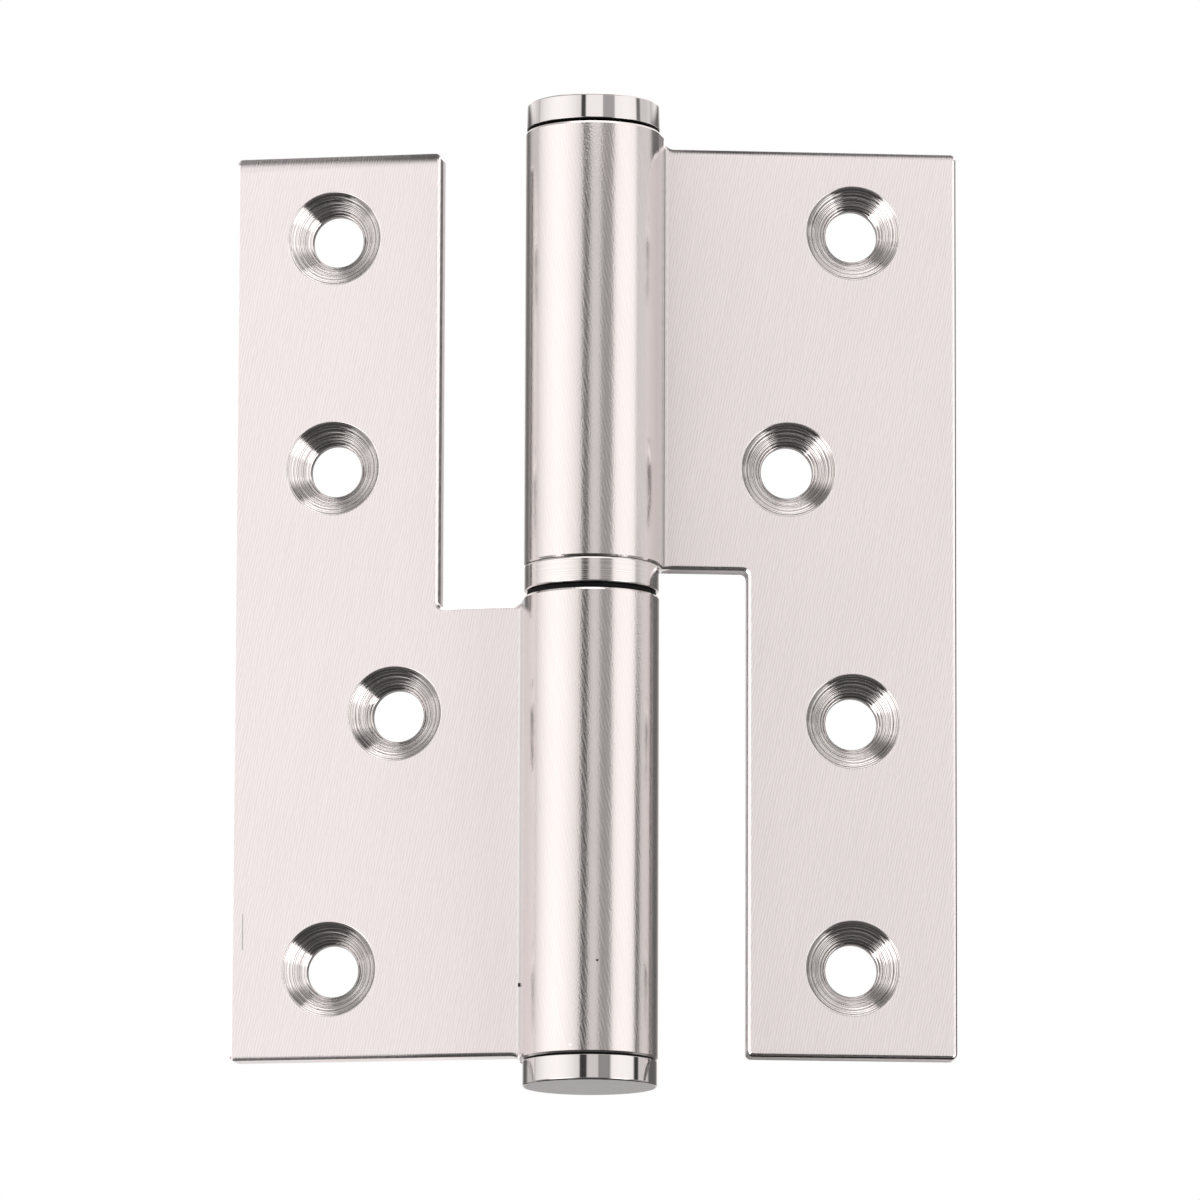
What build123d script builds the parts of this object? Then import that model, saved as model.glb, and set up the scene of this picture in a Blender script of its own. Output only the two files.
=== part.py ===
"""Lift-off hinge with rolled knuckles, a fixed pin and a bearing ring between the leaves.

Millimetres. Z runs up the pin axis and the origin lies on it at half the leaf height. The lower
leaf lies along -X with its countersunk face towards -Y. The upper leaf stands opened past flat.
"""
from build123d import *
import math
import os

# Leaves
LEAF_HEIGHT = 127.0
LEAF_REACH = 50.8          # pin axis to the leaf's outer edge
LEAF_THICKNESS = 4.0
STRIP_WIDTH = 29.0         # full-height strip along the outer edge
FACE_SETBACK = 1.0         # countersunk face behind the plane of the pin axis
CORNER_RADIUS = 0.8
EDGE_RADIUS = 0.5
OPENING_ANGLE = 194.5      # from face to face, 180 is flat

# Screw holes: distance from the pin axis, then height above the leaf's bottom edge or, if negative, from its top
LOWER_HOLES = ((36.8, -11.7), (36.8, -44.3), (27.8, 48.0), (36.8, 12.5))
UPPER_HOLES = ((36.4, -11.4), (27.4, -45.0), (36.4, 46.8), (36.4, 12.4))
HOLE_DIAMETER = 7.2
SINK_DIAMETER = 12.9
SINK_ANGLE = 90.0

# Pin and the knuckles rolled round it
PIN_DIAMETER = 10.6
PIN_REACH = 44.0           # length inside the upper knuckle
PIN_POINT = 2.0
RUNNING_CLEARANCE = 0.05   # radial, pin in the upper knuckle
PRESS_ALLOWANCE = 0.01     # radial, pieces driven into a knuckle
REVERSE_BEND = 4.0         # centre-line radius of the bend between leaf and roll
TIP_ANGLE = 344.0          # where the roll runs out into its straight tip
SEAM_GAP = 0.15            # tip to the leaf's face
KNUCKLE_CHAMFER = 0.25
LOWER_KNUCKLE_TOP = -0.2   # level of the bearing's seat
LOWER_ARM_DROP = 0.6       # lower arm's top edge under that level
LOWER_OVERHANG = 0.9       # knuckle past its leaf's own edge
UPPER_OVERHANG = 1.7

# Bearing ring and the dark washer it turns on
RING_HEIGHT = 3.4
RING_SHY = 0.05            # radial, ring inside the knuckles' outline
RING_CHAMFER = 0.2
WASHER_THICKNESS = 1.0
WASHER_SHY = 0.2           # radial, washer inside the knuckles' outline

# End caps
CAP_SHY = 0.1              # radial, cap inside the knuckles' outline
CAP_HEIGHT = 3.5
CAP_EDGE = 0.35            # chamfer round the outer end
CAP_BREAK = 0.12           # chamfer beside the groove
TOP_GROOVE = 0.45          # shadow groove over the upper knuckle
BOTTOM_GROOVE = 0.25
SHOULDER_DIAMETER = 14.6
SPIGOT_LENGTH = 6.0
SPIGOT_LEAD = 0.6
PIN_END_GAP = 0.2          # bottom cap's spigot to the pin

# Levels and radii that follow
pin_radius = PIN_DIAMETER / 2
bore_radius = pin_radius + RUNNING_CLEARANCE
press_radius = bore_radius - PRESS_ALLOWANCE
barrel_radius = bore_radius + LEAF_THICKNESS
leaf_back = FACE_SETBACK + LEAF_THICKNESS
leaf_top = LEAF_HEIGHT / 2
leaf_bottom = -LEAF_HEIGHT / 2
strip_edge = LEAF_REACH - STRIP_WIDTH
ring_bottom = LOWER_KNUCKLE_TOP + WASHER_THICKNESS
upper_knuckle_bottom = ring_bottom + RING_HEIGHT
upper_knuckle_top = leaf_top + UPPER_OVERHANG
lower_knuckle_bottom = leaf_bottom - LOWER_OVERHANG
ring_radius = barrel_radius - RING_SHY
washer_radius = barrel_radius - WASHER_SHY
cap_radius = barrel_radius - CAP_SHY


def polar(radius, degrees):
    """Point at a radius and an angle about the pin axis."""
    return (radius * math.cos(math.radians(degrees)), radius * math.sin(math.radians(degrees)))


def tip_end(radius):
    """End of the roll's straight tip, for its inner or outer face."""
    x, y = polar(radius, TIP_ANGLE)
    return (x - (FACE_SETBACK - SEAM_GAP - y) * math.tan(math.radians(TIP_ANGLE)), FACE_SETBACK - SEAM_GAP)


# Centre of the reverse bend, and where the leaf leaves the knuckle
bend_y = FACE_SETBACK + LEAF_THICKNESS / 2 + REVERSE_BEND
bend_x = math.sqrt((bore_radius + LEAF_THICKNESS / 2 + REVERSE_BEND) ** 2 - bend_y**2)
bend_angle = math.degrees(math.atan2(bend_y, bend_x))
root_x = max(bend_x, tip_end(barrel_radius)[0]) + SEAM_GAP


def rolled_knuckle(bottom, top):
    """Leaf end set back by a reverse bend, then rolled round the pin until its tip meets the face."""
    half = LEAF_THICKNESS / 2
    with BuildSketch() as section:
        with BuildLine():
            Line((root_x, leaf_back), (root_x, FACE_SETBACK))
            Line((root_x, FACE_SETBACK), (bend_x, FACE_SETBACK))
            CenterArc((bend_x, bend_y), REVERSE_BEND + half, 270, bend_angle - 90)
            CenterArc((0, 0), bore_radius, bend_angle, TIP_ANGLE - bend_angle)
            Line(polar(bore_radius, TIP_ANGLE), tip_end(bore_radius))
            Line(tip_end(bore_radius), tip_end(barrel_radius))
            Line(tip_end(barrel_radius), polar(barrel_radius, TIP_ANGLE))
            CenterArc((0, 0), barrel_radius, TIP_ANGLE, bend_angle - TIP_ANGLE)
            CenterArc((bend_x, bend_y), REVERSE_BEND - half, 180 + bend_angle, 90 - bend_angle)
            Line((bend_x, leaf_back), (root_x, leaf_back))
        make_face()
    knuckle = Pos(0, 0, bottom) * extrude(section.sketch, top - bottom)
    rims = knuckle.edges().filter_by(GeomType.CIRCLE).filter_by(lambda e: abs(e.radius - barrel_radius) < 1e-4)
    return chamfer(rims, KNUCKLE_CHAMFER)


def leaf_plate(corners):
    """Flat flag of a leaf, front edges rounded, square where it joins the knuckle."""
    with BuildSketch(Plane.XZ.offset(-leaf_back)) as flag:
        with BuildLine():
            Polyline(*corners, close=True)
        make_face()
        free = flag.vertices().filter_by(lambda v: v.X > root_x + CORNER_RADIUS)
        fillet(free, CORNER_RADIUS)
    plate = extrude(flag.sketch, LEAF_THICKNESS)
    front = plate.faces().sort_by(Axis.Y)[0]
    rim = front.outer_wire().edges().filter_by(lambda e: e.center().X > root_x + EDGE_RADIUS)
    return fillet(rim, EDGE_RADIUS)


def screw_hole(reach, height):
    """Cutter for one through hole with its countersink in the front face."""
    depth = (SINK_DIAMETER - HOLE_DIAMETER) / 2 / math.tan(math.radians(SINK_ANGLE / 2))
    through = Cylinder(HOLE_DIAMETER / 2, 3 * LEAF_THICKNESS)
    sink = Pos(0, 0, -depth / 2) * Cone(HOLE_DIAMETER / 2, SINK_DIAMETER / 2, depth)
    level = leaf_top + height if height < 0 else leaf_bottom + height
    return Pos(reach, FACE_SETBACK, level) * Rot(90, 0, 0) * (through + sink)


def leaf(corners, knuckle_span, holes):
    """One leaf with its knuckle, lying along +X and facing -Y."""
    blank = rolled_knuckle(*knuckle_span) + leaf_plate(corners)
    for reach, height in holes:
        blank -= screw_hole(reach, height)
    return blank


def turned(points):
    """Solid of revolution about the pin axis from a closed section of (radius, height) points."""
    with BuildSketch(Plane.XZ) as section:
        with BuildLine():
            Polyline(*points, close=True)
        make_face()
    return revolve(section.sketch, Axis.Z)


def end_cap(groove):
    """Cap standing on a knuckle whose end face is at height 0."""
    shoulder = SHOULDER_DIAMETER / 2
    top = groove + CAP_HEIGHT
    return turned(
        (
            (0, -SPIGOT_LENGTH),
            (press_radius - SPIGOT_LEAD, -SPIGOT_LENGTH),
            (press_radius, SPIGOT_LEAD - SPIGOT_LENGTH),
            (press_radius, 0),
            (shoulder, 0),
            (shoulder, groove),
            (cap_radius - CAP_BREAK, groove),
            (cap_radius, groove + CAP_BREAK),
            (cap_radius, top - CAP_EDGE),
            (cap_radius - CAP_EDGE, top),
            (0, top),
        )
    )


lower_leaf = mirror(
    leaf(
        (
            (root_x, leaf_bottom),
            (LEAF_REACH, leaf_bottom),
            (LEAF_REACH, leaf_top),
            (strip_edge, leaf_top),
            (strip_edge, LOWER_KNUCKLE_TOP - LOWER_ARM_DROP),
            (root_x, LOWER_KNUCKLE_TOP - LOWER_ARM_DROP),
        ),
        (lower_knuckle_bottom, LOWER_KNUCKLE_TOP),
        LOWER_HOLES,
    ),
    about=Plane.YZ,
)

upper_leaf = Rot(0, 0, OPENING_ANGLE - 180) * leaf(
    (
        (root_x, upper_knuckle_bottom),
        (strip_edge, upper_knuckle_bottom),
        (strip_edge, leaf_bottom),
        (LEAF_REACH, leaf_bottom),
        (LEAF_REACH, leaf_top),
        (root_x, leaf_top),
    ),
    (upper_knuckle_bottom, upper_knuckle_top),
    UPPER_HOLES,
)

pin_bottom = lower_knuckle_bottom + SPIGOT_LENGTH + PIN_END_GAP
pin_top = upper_knuckle_bottom + PIN_REACH
hinge_pin = turned(
    (
        (0, pin_bottom),
        (press_radius, pin_bottom),
        (press_radius, LOWER_KNUCKLE_TOP),
        (pin_radius, LOWER_KNUCKLE_TOP),
        (pin_radius, pin_top - PIN_POINT),
        (pin_radius - PIN_POINT, pin_top),
        (0, pin_top),
    )
)

top_cap = Pos(0, 0, upper_knuckle_top) * end_cap(TOP_GROOVE)
bottom_cap = Pos(0, 0, lower_knuckle_bottom) * Rot(180, 0, 0) * end_cap(BOTTOM_GROOVE)

bearing_ring = turned(
    (
        (bore_radius, ring_bottom),
        (ring_radius - RING_CHAMFER, ring_bottom),
        (ring_radius, ring_bottom + RING_CHAMFER),
        (ring_radius, upper_knuckle_bottom - RING_CHAMFER),
        (ring_radius - RING_CHAMFER, upper_knuckle_bottom),
        (bore_radius, upper_knuckle_bottom),
    )
)

thrust_washer = Pos(0, 0, LOWER_KNUCKLE_TOP + WASHER_THICKNESS / 2) * (
    Cylinder(washer_radius, WASHER_THICKNESS) - Cylinder(bore_radius, WASHER_THICKNESS)
)

os.makedirs("parts", exist_ok=True)
for name, piece in {
    "lower_leaf": lower_leaf,
    "upper_leaf": upper_leaf,
    "hinge_pin": hinge_pin,
    "bearing_ring": bearing_ring,
    "thrust_washer": thrust_washer,
    "top_cap": top_cap,
    "bottom_cap": bottom_cap,
}.items():
    export_step(piece, f"parts/{name}.step")
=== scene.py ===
"""Looks of the lift-off hinge: satin leaves rolled into knuckles, polished caps, bearing ring, washer and pin.

Sizes are millimetres until a mesh is written, which is in metres. Z runs up the pin axis.
"""
import logging
import math
from dataclasses import dataclass
from enum import Enum
from typing import Any, Optional, Sequence, Union

import bmesh
import bpy
from mathutils import Matrix, Vector
from mathutils.geometry import tessellate_polygon


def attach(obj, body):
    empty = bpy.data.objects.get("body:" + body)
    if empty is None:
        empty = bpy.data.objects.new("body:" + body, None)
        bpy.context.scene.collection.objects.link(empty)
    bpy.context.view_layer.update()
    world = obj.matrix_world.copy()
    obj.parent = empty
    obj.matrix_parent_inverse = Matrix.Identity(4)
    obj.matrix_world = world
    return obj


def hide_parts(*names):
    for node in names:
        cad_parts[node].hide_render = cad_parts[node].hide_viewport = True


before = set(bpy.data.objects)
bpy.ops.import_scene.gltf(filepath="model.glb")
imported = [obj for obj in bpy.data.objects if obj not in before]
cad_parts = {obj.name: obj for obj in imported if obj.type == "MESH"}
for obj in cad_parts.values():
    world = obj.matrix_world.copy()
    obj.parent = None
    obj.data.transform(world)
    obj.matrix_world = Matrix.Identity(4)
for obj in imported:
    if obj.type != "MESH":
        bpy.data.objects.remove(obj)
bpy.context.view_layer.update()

log = logging.getLogger("hinge")

MM = 0.001
BLANK_MAP = "blank"        # UV map of the flat sheet before it is rolled, in millimetres
TURNING = "turning"        # distance along a turned profile, in millimetres
SHEARED = "sheared"        # 0 on the sheet's faces and 1 to 2 down its edges, times how plainly an edge shows its cut colour and its painted shade line

PROFILE_INPUTS = {"Profile": "Geometry", "Axle": "Float", "Segments": "Int", "Finish": "Material"}

Colour = tuple[float, float, float, float]
Point = tuple[float, float]
Value = Union["Sock", float]


def grey(level: float) -> Colour:
    """A neutral colour of that linear level."""
    return (level, level, level, 1.0)


def added(name: str, data: bpy.types.ID) -> bpy.types.Object:
    """A new object in the scene."""
    thing = bpy.data.objects.new(name, data)
    bpy.context.scene.collection.objects.link(thing)
    return thing


def written(name: str, work: bmesh.types.BMesh) -> bpy.types.Mesh:
    """A new mesh from a worked one, which is freed."""
    mesh = bpy.data.meshes.new(name)
    work.to_mesh(mesh)
    work.free()
    return mesh


class Body(Enum):
    """Moving bodies of the hinge."""

    LOWER = "lower_leaf"
    RING = "bearing_ring"
    UPPER = "upper_leaf"


class Slot(Enum):
    """Material slots of the pieces, handed to place(), which does not use them."""

    SATIN = "satin_steel"
    CAPS = "cap_polish"
    RING = "ring_steel"
    PIN = "pin_steel"
    NYLON = "washer_nylon"


class Sock:
    """A node socket for Python expressions: every operator adds one Math node."""

    def __init__(self, graph: "Graph", socket: bpy.types.NodeSocket) -> None:
        """Keep the graph and the output socket."""
        self.graph = graph
        self.socket = socket

    def other(self, name: Union[str, int]) -> "Sock":
        """Another output of the same node."""
        return Sock(self.graph, self.socket.node.outputs[name])

    def math(self, operation: str, *values: Value) -> "Sock":
        """Result of a Math node on this socket and the given values."""
        sockets = dict(enumerate((self, *values)))
        return self.graph.node("ShaderNodeMath", {"operation": operation}, sockets)

    def __add__(self, value: Value) -> "Sock":
        """Sum."""
        return self.math("ADD", value)

    __radd__ = __add__

    def __mul__(self, value: Value) -> "Sock":
        """Product."""
        return self.math("MULTIPLY", value)

    __rmul__ = __mul__

    def __sub__(self, value: Value) -> "Sock":
        """Difference."""
        return self.math("SUBTRACT", value)

    def __rsub__(self, value: float) -> "Sock":
        """Difference from a number, as in 1 - mask."""
        return (self * -1.0) + value

    def __truediv__(self, value: Value) -> "Sock":
        """Quotient."""
        return self.math("DIVIDE", value)

    def near(self, value: float, reach: float) -> "Sock":
        """1 within reach of a value and 0 elsewhere."""
        return self.math("COMPARE", value, reach)

    def ramp(self, start: float, end: float) -> "Sock":
        """Smooth rise from 0 at start to 1 at end, start below end."""
        sockets = {"Value": self, "From Min": start, "From Max": end}
        return self.graph.node("ShaderNodeMapRange", {"interpolation_type": "SMOOTHSTEP"}, sockets)

    def step(self, place: float, width: float) -> "Sock":
        """Smooth rise from 0 to 1 over a width about a place."""
        return self.ramp(place - width / 2, place + width / 2)

    def dot(self, axis: Sequence[float]) -> "Sock":
        """Dot product of this vector with a fixed one."""
        return self.graph.node("ShaderNodeVectorMath", {"operation": "DOT_PRODUCT"}, {0: self, 1: axis}, "Value")


class Graph:
    """Writes the nodes of one shader or geometry tree."""

    def __init__(self, tree: bpy.types.NodeTree) -> None:
        """Start on an emptied tree."""
        self.tree = tree
        tree.nodes.clear()

    def node(
        self,
        kind: str,
        settings: Optional[dict[str, Any]] = None,
        sockets: Optional[dict[Union[str, int], Any]] = None,
        output: Union[str, int] = 0,
    ) -> Sock:
        """Add one node.

        Args:
            kind: Blender's type name of the node.
            settings: attributes set first.
            sockets: value or link of each input, by name or number.
            output: the output that is handed back.

        Returns:
            The chosen output, or the node's first input wrapped where it has no output.
        """
        made = self.tree.nodes.new(kind)
        for name, value in (settings or {}).items():
            setattr(made, name, value)
        for name, value in (sockets or {}).items():
            if isinstance(value, Sock):
                self.tree.links.new(value.socket, made.inputs[name])
            elif isinstance(value, list):
                for link in value:
                    self.tree.links.new(link.socket, made.inputs[name])
            else:
                made.inputs[name].default_value = value
        return Sock(self, made.outputs[output] if made.outputs else made.inputs[0])

    def blend(self, factor: Union[Sock, float], first: Any, second: Any, kind: str = "MIX") -> Sock:
        """Colour from two colours or sockets, mixed or blended in another way."""
        return self.node(
            "ShaderNodeMix", {"data_type": "RGBA", "blend_type": kind}, {0: factor, 6: first, 7: second}, 2
        )

    def spot(self) -> Sock:
        """Place on the object, in metres."""
        return self.node("ShaderNodeTexCoord", {}, {}, "Object")

    def surface(self, shader: Sock) -> None:
        """Make a shader the material's surface."""
        self.node("ShaderNodeOutputMaterial", {}, {"Surface": shader})

    def noise(self, vector: Sock, size: Sequence[float], detail: float = 2.0, turn: float = 0.0) -> Sock:
        """Noise with cells of that size, turned about Z by degrees."""
        cells = self.stretched(vector, size, turn)
        return self.node("ShaderNodeTexNoise", {}, {"Vector": cells, "Scale": 1.0, "Detail": detail})

    def line_noise(self, place: Sock) -> Sock:
        """Noise of unit scale along one number."""
        return self.node("ShaderNodeTexNoise", {"noise_dimensions": "1D"}, {"W": place, "Scale": 1.0, "Detail": 1.0})

    def stretched(self, vector: Sock, size: Sequence[float], turn: float = 0.0) -> Sock:
        """Coordinates whose unit is a cell of that size, turned about Z by degrees."""
        sockets = {"Vector": vector, "Rotation": (0.0, 0.0, math.radians(turn)), "Scale": size}
        return self.node("ShaderNodeMapping", {"vector_type": "TEXTURE"}, sockets)


def blank_material(name: str) -> tuple[bpy.types.Material, Graph]:
    """A new material and the graph of its emptied tree."""
    made = bpy.data.materials.new(name)
    made.use_nodes = True
    return made, Graph(made.node_tree)


@dataclass(frozen=True)
class Finish:
    """A Principled surface whose inputs come from its subclass."""

    name: str

    def inputs(self, graph: Graph) -> dict[str, Any]:
        """Inputs of the shader, by name."""
        raise NotImplementedError

    def material(self) -> bpy.types.Material:
        """A new material with the finish's nodes."""
        made, graph = blank_material(self.name)
        graph.surface(graph.node("ShaderNodeBsdfPrincipled", {}, self.inputs(graph)))
        return made


@dataclass(frozen=True)
class Metal(Finish):
    """Base of the metal finishes, with detail from its subclass."""

    pale: Colour
    dark: Colour
    roughness: float
    spread: float = 0.0            # how much wider the sheen is across the brush lines

    def inputs(self, graph: Graph) -> dict[str, Any]:
        """Bare metal with the detail's colour, roughness and relief."""
        colour, rough, height = self.detail(graph)
        return {
            "Base Color": colour,
            "Metallic": 1.0,
            "Roughness": rough,
            "Anisotropic": self.spread,
            "Normal": graph.node("ShaderNodeBump", {}, {"Strength": 1.0, "Distance": MM, "Height": height}),
        }

    def detail(self, graph: Graph) -> tuple[Sock, Sock, Sock]:
        """Colour, roughness, and height in millimetres, over the surface."""
        raise NotImplementedError

    def toned(self, graph: Graph, tone: Sock) -> Sock:
        """The finish's colour at a tone from 0, dark, to 1, pale."""
        return graph.blend(tone, self.dark, self.pale)


@dataclass(frozen=True)
class Mark:
    """A small mark or upright line on the sheet, by its place on the flat blank, negative on the upper leaf."""

    across: float
    level: float
    width: float
    length: float
    colour: Colour


@dataclass(frozen=True)
class BrushedSheet(Metal):
    """Satin sheet with slanting brush lines on the leaf and a smoother roll."""

    cut: Colour = (0.9, 0.88, 0.875, 1.0)
    cut_roughness: float = 0.75
    edge_shade_line: Colour = (0.1, 0.097, 0.095, 1.0)  # painted shade: dark line along the sheared edges, on the outer part of the front edge roll
    roll: Colour = (0.74, 0.74, 0.73, 1.0)   # the burnished roll's colour beside the leaf's
    roll_roughness: float = 0.14
    edge_roughness: float = 0.2    # of the rounded edges, burnished in the press
    edge_tone: float = 0.8
    lean: float = 12.0             # brush lines off upright, in degrees
    pitch: float = 0.38            # width of a brush line
    waver: float = 0.8             # how far the lines wander, in line widths
    line_tone: float = 1.9         # weight of lines, streaks and clouding in the tone
    streak_tone: float = 0.4
    cloud_tone: float = 0.5
    line_depth: float = 0.0012     # and in the relief
    streak_depth: float = 0.002
    cloud_depth: float = 0.012
    roll_start: float = 42.0       # distance along the blank where the roll begins
    roll_blend: float = 4.0        # length over which it takes over
    roll_wear: float = 0.75        # share of the lines' tone that it has lost
    roll_line_depth: float = 0.0005
    peel_depth: float = 0.008      # fine pebbling that rolling leaves
    marks: tuple[Mark, ...] = ()

    def along_brush(self, graph: Graph, blank: Sock, width: float, length: float, detail: float = 0.0) -> Sock:
        """Noise with cells that lie along the brush lines."""
        return graph.noise(blank, (width, length, 1.0), detail, -self.lean)

    def detail(self, graph: Graph) -> tuple[Sock, Sock, Sock]:
        """Fine lines, broader streaks and slow clouding along the brush, the marks with painted highlights among
        them, the cut edges, and a painted shade line along those edges.
        """
        blank = graph.node("ShaderNodeUVMap", {"uv_map": BLANK_MAP})
        across = graph.node("ShaderNodeSeparateXYZ", {}, {0: blank})
        level = across.other("Y")
        rolled = across.math("ABSOLUTE").ramp(self.roll_start, self.roll_start + self.roll_blend)
        lines = graph.stretched(blank, (self.pitch, 1.0, 1.0), -self.lean)
        brush = graph.node("ShaderNodeSeparateXYZ", {}, {0: lines})
        waver = self.along_brush(graph, blank, 1.6, 7.0) * self.waver
        press = self.along_brush(graph, blank, 0.45, 1.5).ramp(0.3, 0.7)
        fine = ((brush + waver) * (2 * math.pi)).math("SINE") * press * 0.5
        streak = self.along_brush(graph, blank, 0.6, 26.0, 2.0)
        cloud = self.along_brush(graph, blank, 17.0, 34.0, 2.0)
        peel = self.along_brush(graph, blank, 0.18, 0.3)
        tone = 0.5 + fine * (1 - self.roll_wear * rolled) * self.line_tone
        tone = tone + (streak - 0.5) * self.streak_tone + (cloud - 0.5) * self.cloud_tone
        rough = self.roughness + rolled * (self.roll_roughness - self.roughness) + fine * 0.08
        flat_height = fine * self.line_depth + streak * self.streak_depth + cloud * self.cloud_depth
        roll_height = peel * self.peel_depth + fine * self.roll_line_depth
        height = (1 - rolled) * flat_height + rolled * roll_height
        sheared = graph.node("ShaderNodeAttribute", {"attribute_name": SHEARED}, {}, "Fac")
        worn = sheared.ramp(0.03, 0.2) * (1 - rolled)
        rough = rough + worn * (self.edge_roughness - self.roughness)
        face = self.toned(graph, tone + worn * (self.edge_tone - tone))
        face = graph.blend(rolled, face, graph.blend(1.0, face, self.roll, "MULTIPLY"))
        for mark in self.marks:
            mask = across.near(mark.across, mark.width / 2) * level.near(mark.level, mark.length / 2)
            face = graph.blend(mask, face, mark.colour)
        # painted shade: dark line along the outer part of each sheared edge's front roll
        face = graph.blend(sheared.ramp(0.85, 0.98), face, self.edge_shade_line)
        cut = sheared.ramp(1.45, 1.55)
        return graph.blend(cut, face, self.cut), rough + cut * (self.cut_roughness - self.edge_roughness), height


@dataclass(frozen=True)
class TurnedSteel(Metal):
    """Cut or ground on a lathe: fine rings round the axis."""

    spacing: float = 0.16          # width of a ring, in millimetres
    depth: float = 0.003
    contrast: float = 0.6
    bore_shade_start: float = 1000.0     # distance along the profile where the painted shade on the hole's wall begins
    # painted shade: dark colour on the hole's wall, where shade falls inside the hole
    bore: Colour = (0.1, 0.095, 0.09, 1.0)

    def detail(self, graph: Graph) -> tuple[Sock, Sock, Sock]:
        """Rings along the profile, with slow changes of tone, and a painted shade on the wall of a hole."""
        place = graph.node("ShaderNodeAttribute", {"attribute_name": TURNING}, {}, "Fac")
        rings = graph.line_noise(place / self.spacing).ramp(0.36, 0.64)
        wide = graph.line_noise(place / (7 * self.spacing))
        spot = graph.noise(graph.spot(), (0.004,) * 3)
        tone = 0.5 + (rings - 0.5) * self.contrast + (wide - 0.5) * 0.3 + (spot - 0.5) * 0.3
        rough = self.roughness + (rings - 0.5) * 0.1
        colour = graph.blend(place.ramp(self.bore_shade_start, self.bore_shade_start + 0.15), self.toned(graph, tone), self.bore)
        return colour, rough, rings * self.depth + wide * self.depth


@dataclass(frozen=True)
class PolishedSteel(Metal):
    """Buffed nearly to a mirror, with faint smears."""

    def detail(self, graph: Graph) -> tuple[Sock, Sock, Sock]:
        """Smears in the polish and a very slight wave."""
        place = graph.spot()
        smear = graph.noise(place, (0.0007, 0.0007, 0.004), 3.0)
        wave = graph.noise(place, (0.006,) * 3, 1.0)
        tone = 0.5 + (smear - 0.5) * 0.4
        return self.toned(graph, tone), self.roughness + (smear - 0.5) * 0.05, wave * 0.004


@dataclass(frozen=True)
class Nylon(Finish):
    """Black moulded nylon with a fine matt grain, its black deepened past the nylon's own as painted shade in the gap
    between the knuckles.
    """

    name: str = "black_nylon_and_gap_shade"
    # partly painted shade: nearly pure black, darker than the nylon itself, standing in for the shade in the gap
    # under the bearing ring
    colour: Colour = (0.003, 0.003, 0.003, 1.0)
    worn: Colour = (0.007, 0.007, 0.007, 1.0)

    def inputs(self, graph: Graph) -> dict[str, Any]:
        """Matt plastic, a little paler where it is worn."""
        place = graph.spot()
        grain = graph.noise(place, (0.00025,) * 3)
        patch = graph.noise(place, (0.003,) * 3)
        return {
            "Base Color": graph.blend(patch.ramp(0.45, 0.75), self.colour, self.worn),
            "Roughness": 0.6 + (grain - 0.5) * 0.2,
            "Specular IOR Level": 0.12,
            "Normal": graph.node("ShaderNodeBump", {}, {"Strength": 0.5, "Distance": MM, "Height": grain * 0.02}),
        }


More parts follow.
